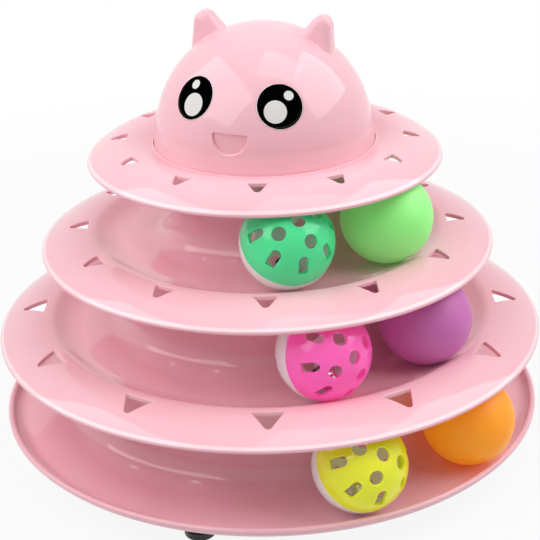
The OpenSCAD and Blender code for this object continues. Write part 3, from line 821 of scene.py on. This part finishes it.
def eye(side):
    """Thin disc that follows the dome, a little proud of it, with a rounded edge."""
    shape = Shape()
    outline, normals = disc_outline(EYE_R, 0.6)
    profile = [(0, -EYE_SEAT_DEPTH), (0, EYE_PROUD - 0.25), (-0.05, EYE_PROUD - 0.1),
               (-0.15, EYE_PROUD - 0.02), (-0.3, EYE_PROUD)]
    at = face_axes(side * EYE_AZ, EYE_EL)
    sunk(shape, at, outline, normals, profile, DOME_R, (0.92, 0.8, 0.6, 0.4, 0.2, 0.01))
    return shape.placed(Matrix.Translation(DOME_CENTRE))


# Balls, in their own frame with the pole along +Z, and then turned and set on their tracks

def half_ball():
    """One half of a lattice ball, with a raised rim round each hole."""
    half = Shape()
    hole_at = [(0, 0)]
    hole_at += [(LATTICE_RING_TILT, i * 360 / LATTICE_RING_COUNT) for i in range(LATTICE_RING_COUNT)]
    slot_at = [(SLOT_TILT, (i + 0.5) * 360 / SLOT_COUNT) for i in range(SLOT_COUNT)]
    soft = SLOT_CORNER_R
    bullet = [((SLOT_W / 2 - SLOT_L / 2, 0), SLOT_W / 2, 90, 270),
              ((SLOT_L / 2 - soft, soft - SLOT_W / 2), soft, 270, 360),
              ((SLOT_L / 2 - soft, SLOT_W / 2 - soft), soft, 0, 90)]
    profile = [(0.75, 0), (0.5, 0.05), (0.3, 0.09), (0.12, 0.03), (0.03, -0.1), (0, -0.25),
               (0, 0.2 - LATTICE_WALL), (0.1, -LATTICE_WALL)]
    outer, inner = [], []
    for places, form in ((hole_at, disc_outline(LATTICE_HOLE_R, 0.55)), (slot_at, rounded(bullet, 0.5))):
        for tilt, azimuth in places:
            t, a = math.radians(tilt), math.radians(azimuth)
            at = (np.array([math.cos(t) * math.cos(a), math.cos(t) * math.sin(a), -math.sin(t)]),
                  np.array([-math.sin(a), math.cos(a), 0.0]),
                  np.array([math.sin(t) * math.cos(a), math.sin(t) * math.sin(a), math.cos(t)]))
            first, last = sunk(half, at, *form, profile, BALL_R)
            outer.append(first)
            inner.append(last)
    inner_r = BALL_R - LATTICE_WALL
    columns = np.arange(LATTICE_COLUMNS) * 360 / LATTICE_COLUMNS
    rim = [(math.sqrt(BALL_R ** 2 - SEAM_RISE ** 2), SEAM_RISE), (BALL_R - 0.03, 0.3), (BALL_R - 0.1, 0.14),
           (BALL_R - 0.3, 0.03), (inner_r, 0.03), (math.sqrt(inner_r ** 2 - SEAM_RISE ** 2), SEAM_RISE)]
    rim = np.array(rim)
    rows = revolved(rim, columns)
    half.grid(rows, closed=True)
    half.join(skin(rows[0], outer, BALL_R, 0.8), skin(rows[-1], inner, inner_r, 1.1))
    return half


def plain_ball():
    """Ball of two halves welded along a faint seam."""
    tilts = np.concatenate([np.linspace(0, 88.6, 60), [89.2, 89.6, 89.85]])
    radii = BALL_R - np.where(tilts > SEAM_FROM_TILT, SEAM_DEPTH_RATE * (tilts - SEAM_FROM_TILT), 0)
    t = np.radians(np.concatenate([tilts, 180 - tilts[::-1]]))
    r = np.concatenate([radii, radii[::-1]])
    profile = np.stack([r * np.sin(t), r * np.cos(t)], -1)
    ball = Shape()
    ball.grid(revolved(profile, np.arange(PLAIN_COLUMNS) * 360 / PLAIN_COLUMNS), closed=True)
    return ball


def turning(place, tilt, heading, roll, mirrored=False):
    """Matrix that turns a ball from its own frame and sets it in its place."""
    matrix = (Matrix.Translation(place) @ Matrix.Rotation(math.radians(heading), 4, "Z")
              @ Matrix.Rotation(math.radians(tilt), 4, "Y") @ Matrix.Rotation(math.radians(roll), 4, "Z"))
    return matrix @ Matrix.Diagonal((1, 1, -1, 1)) if mirrored else matrix


# Nodes of the finishes

def operator(operation, flipped=False):
    def result(value, other):
        return value.math(operation, *((other, value) if flipped else (value, other)))
    return result


class Value:
    """A socket of some nodes, which can stand in a sum."""

    def __init__(self, nodes, socket):
        self.nodes, self.socket = nodes, socket

    def math(self, operation, *terms):
        return self.nodes.node("ShaderNodeMath", {"operation": operation}, dict(enumerate(terms)))

    __add__ = __radd__ = operator("ADD")
    __sub__ = operator("SUBTRACT")
    __rsub__ = operator("SUBTRACT", flipped=True)
    __mul__ = __rmul__ = operator("MULTIPLY")
    __truediv__ = operator("DIVIDE")
    __pow__ = operator("POWER")


class Nodes:
    """Node tree of a finish, the floor or the surroundings."""

    def __init__(self, owner):
        owner.use_nodes = True
        self.tree = owner.node_tree
        self.tree.nodes.clear()

    def node(self, kind, settings=None, sockets=None, out=0):
        """Adds a node: its settings first, then what its sockets hold. Gives its output, or several."""
        new = self.tree.nodes.new(kind)
        for name, setting in (settings or {}).items():
            setattr(new, name, setting)
        for key, held in (sockets or {}).items():
            socket = new.inputs[key]
            if isinstance(held, Value):
                self.tree.links.new(held.socket, socket)
            elif socket.type == "RGBA":
                socket.default_value = (*held, 1.0)
            else:
                socket.default_value = held
        if isinstance(out, tuple):
            return [Value(self, new.outputs[o]) for o in out]
        return Value(self, new.outputs[out]) if len(new.outputs) else None

    def mixed(self, factor, a, b):
        """Colour between two colours."""
        return self.node("ShaderNodeMix", {"data_type": "RGBA"}, {0: factor, 6: a, 7: b}, out=2)

    def noise(self, scale, detail=2.0, stretch=None):
        where = self.place
        if stretch:
            where = self.node("ShaderNodeVectorMath", {"operation": "MULTIPLY"}, {0: where, 1: stretch})
        return self.node("ShaderNodeTexNoise", {}, {"Vector": where, "Scale": scale, "Detail": detail})

    def step(self, value, low, high):
        """0 below the low value, 1 above the high one and smooth between."""
        return self.node("ShaderNodeMapRange", {"interpolation_type": "SMOOTHSTEP"},
                         {"Value": value, "From Min": low, "From Max": high})

    def bump(self, height, strength, reach):
        return self.node("ShaderNodeBump", {}, {"Strength": strength, "Distance": reach, "Height": height})


class Finish(Nodes):
    """One material, with the place on the piece as its start."""

    def __init__(self, name):
        self.material = bpy.data.materials.new(name)
        super().__init__(self.material)
        self.place = self.node("ShaderNodeTexCoord", out="Object")

    def shaded(self, **sockets):
        named = {name.replace("_", " "): held for name, held in sockets.items()}
        shader = self.node("ShaderNodeBsdfPrincipled", {}, named)
        self.node("ShaderNodeOutputMaterial", {}, {"Surface": shader})
        return self.material


def glossy_moulding(name, colour, deep, roughness, soft=0.0, soft_reach=0.004, painted_glow=0.0, rim=None):
    """Glossy moulded plastic: slow drifts of tone, faint flow marks, orange peel and fine wear.

    At a rim's radius and height, the upper part of the wall's rounded edge gets a paler pink: a painted
    highlight where the edge would catch the light."""
    finish = Finish(name)
    drift = finish.noise(14.0, 2.0)
    flow = finish.noise(60.0, 3.0, (1.0, 1.0, 0.25))
    tone = finish.step(drift * 0.7 + flow * 0.3, 0.3, 0.7)
    wear = finish.step(finish.noise(420.0, 4.0), 0.52, 0.75)
    peel = finish.noise(260.0, 1.0) + 0.25 * finish.noise(900.0, 1.0)
    body = finish.mixed(tone, deep, colour)
    # Painted highlight: a paler pink band along the upper part of the rim's rounded edge.
    if rim:
        x, y, z = finish.node("ShaderNodeSeparateXYZ", {}, {0: finish.place}, out=(0, 1, 2))
        radius = (x * x + y * y) ** 0.5 / MM
        outwards = finish.step(radius, rim[0] - 1.5, rim[0] - 0.9)
        upwards = finish.step(z / MM, rim[1] - 0.3, rim[1] + 0.1)
        body = finish.mixed(0.5 * (outwards * upwards), body, PAINTED_RIM_HIGHLIGHT)
    # The emission is a painted glow of the plastic's colour, standing in for light carried through it.
    return finish.shaded(
        Base_Color=body,
        Roughness=roughness + 0.03 * drift + 0.03 * wear,
        Normal=finish.bump(peel, 0.2, 0.00003),
        IOR=1.42, Subsurface_Weight=soft, Subsurface_Radius=colour, Subsurface_Scale=soft_reach,
        Emission_Color=colour, Emission_Strength=painted_glow)


def satin_ball(name, colour, deep, fleck, painted_glow):
    """Satin hollow ball: fine even grain, specks of unmixed dye, and a faint painted glow of its own colour,
    standing in for light carried through the plastic.
    """
    finish = Finish(name)
    drift = finish.noise(30.0, 2.0)
    specks = finish.step(finish.noise(1500.0, 2.0), 0.62, 0.72)
    grain = finish.noise(2600.0, 2.0)
    body = finish.mixed(finish.step(drift, 0.3, 0.7), deep, colour)
    return finish.shaded(
        Base_Color=finish.mixed(0.25 * specks, body, fleck),
        Roughness=0.42 + 0.1 * grain,
        Normal=finish.bump(grain, 0.3, 0.00005),
        IOR=1.45, Subsurface_Weight=0.6, Subsurface_Radius=colour, Subsurface_Scale=0.012,
        Emission_Color=colour, Emission_Strength=painted_glow)


def rubber(name):
    """Black rubber: a dull bloom over fine pits."""
    finish = Finish(name)
    bloom = finish.step(finish.noise(180.0, 3.0), 0.35, 0.75)
    pits = finish.noise(2200.0, 2.0)
    return finish.shaded(
        Base_Color=finish.mixed(bloom, (0.010, 0.010, 0.011), (0.022, 0.022, 0.024)),
        Roughness=0.28 + 0.2 * bloom,
        Normal=finish.bump(pits, 0.3, 0.00006))


def metal(name, colour, dull, roughness, brushed):
    """Plated or plain metal, with fine brushing and dull patches."""
    finish = Finish(name)
    lines = finish.noise(1800.0, 2.0, (1.0, 1.0, brushed))
    patches = finish.step(finish.noise(240.0, 3.0), 0.4, 0.7)
    return finish.shaded(
        Base_Color=finish.mixed(patches, colour, dull),
        Roughness=roughness + 0.12 * patches + 0.08 * lines,
        Normal=finish.bump(lines, 0.2, 0.00003),
        Metallic=1.0)


def printed_eye(name, side, spots, cut):
    """Black disc: white spots, a dark grey crescent and a pale edge, placed from its centre.

    The crescent is what a second circle, whose centre is cut, leaves of the disc."""
    finish = Finish(name)
    right, up, out = face_axes(side * EYE_AZ, EYE_EL)
    centre = DOME_CENTRE + out * DOME_R
    across, above = (
        finish.node("ShaderNodeVectorMath", {"operation": "DOT_PRODUCT"},
                    {0: finish.place, 1: tuple(way)}, out="Value")
        / MM - float(np.dot(way, centre)) for way in (right, up))

    def away(x, y):
        return ((across - x) ** 2 + (above - y) ** 2) ** 0.5

    blur = 0.12
    white = None
    for x, y, r in spots:
        spot = 1 - finish.step(away(x, y), r - blur, r + blur)
        white = spot if white is None else white.math("MAXIMUM", white, spot)
    within = 1 - finish.step(away(0, 0), EYE_CRESCENT_R - 0.5, EYE_CRESCENT_R)
    shade = within * finish.step(away(*cut), EYE_CRESCENT_CUT_R, EYE_CRESCENT_CUT_R + 1.4)
    edge = finish.step(away(0, 0), EYE_R - 0.42, EYE_R - 0.3)
    speck = finish.noise(900.0, 2.0)
    ink = finish.mixed(shade, (0.001, 0.001, 0.001), (0.07, 0.07, 0.07))
    face = finish.mixed(white, ink, (0.76, 0.75, 0.73))
    return finish.shaded(
        Base_Color=finish.mixed(edge, face, (0.97, 0.88, 0.90)),
        Roughness=0.3 + 0.08 * speck,
        Normal=finish.bump(speck, 0.15, 0.00002),
        Specular_IOR_Level=0.0)


# Colour of the painted highlight along the rims of the brims.
PAINTED_RIM_HIGHLIGHT = (0.98, 0.90, 0.92)
RIM_EDGE = {level: (LIP_R[level] + BRIM_W, FLOOR_Z[level] + CREST_H[level] - BRIM_DROP) for level in LIP_R}
RIM_EDGE["cap"] = (CAP_RIM_R, SEAT_Z["cap"] + CREST_H["cap"] - CAP_DROP)
PINK = {}
for level, piece in (("tray", "tray"), ("lower", "lower_ring"), ("upper", "upper_ring"), ("cap", "cap")):
    PINK[level] = glossy_moulding(f"{piece}_pink_plastic", (0.93, 0.53, 0.60), (0.92, 0.50, 0.57), 0.05,
                                  rim=RIM_EDGE.get(level))
# The white halves and the balls get a painted glow: emission that stands in for light carried through the
# plastic.
WHITE = glossy_moulding("white_plastic", (0.92, 0.90, 0.90), (0.88, 0.85, 0.85), 0.16, 0.6, painted_glow=0.04)
LATTICE = {
    "green": glossy_moulding("green_plastic", (0.09, 0.83, 0.36), (0.07, 0.78, 0.30), 0.07, 0.5, painted_glow=0.06),
    "pink": glossy_moulding("hot_pink_plastic", (1.0, 0.13, 0.50), (1.0, 0.10, 0.43), 0.07, 0.5, painted_glow=0.18),
    "yellow": glossy_moulding("yellow_plastic", (0.90, 0.93, 0.03), (0.84, 0.87, 0.02), 0.07, 0.5,
                              painted_glow=0.08),
}
PLAIN = {
    "mint": satin_ball("mint_plastic", (0.34, 0.97, 0.28), (0.30, 0.92, 0.23), (0.5, 0.95, 0.5), 0.12),
    "purple": satin_ball("purple_plastic", (0.62, 0.19, 0.50), (0.57, 0.15, 0.45), (0.85, 0.5, 0.8), 0.05),
    "orange": satin_ball("orange_plastic", (1.0, 0.37, 0.01), (1.0, 0.32, 0.01), (1.0, 0.7, 0.3), 0.2),
}
RUBBER = rubber("foot_rubber")
BELL = metal("bell_metal", (0.75, 0.75, 0.77), (0.6, 0.6, 0.62), 0.14, 0.1)
BEAD = metal("bead_steel", (0.45, 0.45, 0.46), (0.35, 0.35, 0.36), 0.3, 1.0)
EYES = {"left": (-1, [(1.01, -2.97, 4.95), (-1.75, 5.45, 2.05)], (0.9, 0.5)),
        "right": (1, [(-2.08, -2.32, 4.8), (3.99, 4.35, 2.05)], (-0.45, 0.9))}

# The pieces
made("base_tray_moulding", base_tray(), PINK["tray"], "base", "base_tray")
for level in ("lower", "upper"):
    made(f"{level}_ring_moulding", track_ring(level), PINK[level],
         f"{level}_ring", f"{level}_track_ring")
made("cat_head_moulding", cat_head_cap(), PINK["cap"], "cap", "cat_head_cap")
for name, (side, spots, cut) in EYES.items():
    made(f"{name}_eye_disc", eye(side), printed_eye(f"{name}_eye_print", side, spots, cut),
         "cap", f"{name}_eye")

half = half_ball()
for colour, turn in LATTICE_TURNS.items():
    joint = next(j for j in frame["joints"] if j["name"] == f"{colour}_ball_roll")
    centre = np.array(joint["pos_m"]) / MM
    made(f"{colour}_lattice_front", half.placed(turning(centre, *turn)), LATTICE[colour],
         f"{colour}_ball", f"{colour}_ball_shell")
    made(f"{colour}_lattice_back", half.placed(turning(centre, *turn, mirrored=True)), WHITE,
         f"{colour}_ball", f"{colour}_ball_back")

plain = plain_ball()
for colour, turn in PLAIN_TURNS.items():
    shape = plain.placed(turning(middle(f"{colour}_ball"), *turn))
    made(f"{colour}_plain_ball", shape, PLAIN[colour],
         f"{colour}_ball", f"{colour}_ball")

for name, node in frame["nodes"].items():
    for ending, finish in (("_foot", RUBBER), ("_bell", BELL), ("_bead", BEAD)):
        if name.endswith(ending):
            node.data.materials.clear()
            node.data.materials.append(finish)


# Surroundings
AMBIENT = 0.16
FLOOR_WHITE = 0.9
FLOOR_REACH = 4.0
FLOOR_FADE = (0.25, 0.6)
FLOOR_DULL = (0.7, 0.7, 0.7)
LAMP_REACH = 0.9
LAMP_AIM = Vector((0, 0, 0.1))


def seen_directly(nodes):
    """1 for what the camera sees, straight or in a gloss or through a clear piece."""
    camera_ray, glossy_ray, clear_ray = nodes.node(
        "ShaderNodeLightPath", out=("Is Camera Ray", "Is Glossy Ray", "Is Transmission Ray"))
    seen = camera_ray + glossy_ray + clear_ray
    return seen.math("MINIMUM", seen, 1.0)


def surroundings():
    world = bpy.data.worlds.new("studio")
    bpy.context.scene.world = world
    nodes = Nodes(world)
    strength = AMBIENT + (1 - AMBIENT) * seen_directly(nodes)
    light = nodes.node("ShaderNodeBackground", {}, {"Color": (1.0, 1.0, 1.0), "Strength": strength})
    nodes.node("ShaderNodeOutputWorld", {}, {"Surface": light})


def floor():
    mesh = bpy.data.meshes.new("floor")
    corners = [(x * FLOOR_REACH, y * FLOOR_REACH, 0.0) for x, y in ((-1, -1), (1, -1), (1, 1), (-1, 1))]
    mesh.from_pydata(corners, [], [(0, 1, 2, 3)])
    pale = Finish("pale_floor")
    far = pale.node("ShaderNodeVectorMath", {"operation": "LENGTH"}, {0: pale.place}, out="Value")
    white = FLOOR_WHITE + (1 - FLOOR_WHITE) * pale.step(far, *FLOOR_FADE)
    dull = pale.node("ShaderNodeBsdfDiffuse", {}, {"Color": FLOOR_DULL})
    bright = pale.node("ShaderNodeEmission", {}, {"Color": (1.0, 1.0, 1.0)})
    shown = pale.node("ShaderNodeMixShader", {}, {0: white * seen_directly(pale), 1: dull, 2: bright})
    pale.node("ShaderNodeOutputMaterial", {}, {"Surface": shown})
    mesh.materials.append(pale.material)
    sheet = bpy.data.objects.new("floor", mesh)
    bpy.context.scene.collection.objects.link(sheet)


def softbox(name, azimuth, elevation, width, height, radiance):
    """Rectangular lamp that looks at the tower from an azimuth and elevation."""
    out = axes(azimuth, elevation)[2]
    lamp = bpy.data.lights.new(name, "AREA")
    lamp.shape = "RECTANGLE"
    lamp.size, lamp.size_y = width, height
    lamp.energy = radiance * math.pi * width * height
    held = bpy.data.objects.new(name, lamp)
    held.location = Vector(out * LAMP_REACH) + LAMP_AIM
    held.rotation_euler = Vector(out).to_track_quat("Z", "Y").to_euler()
    bpy.context.scene.collection.objects.link(held)


surroundings()
floor()
softbox("left_softbox", -55, 45, 1.26, 0.7, 2.74)
softbox("right_softbox", 105, 42, 0.96, 0.68, 2.84)
softbox("top_softbox", 90, 76, 0.5, 0.5, 2.0)

bpy.context.scene.view_settings.view_transform = "Standard"
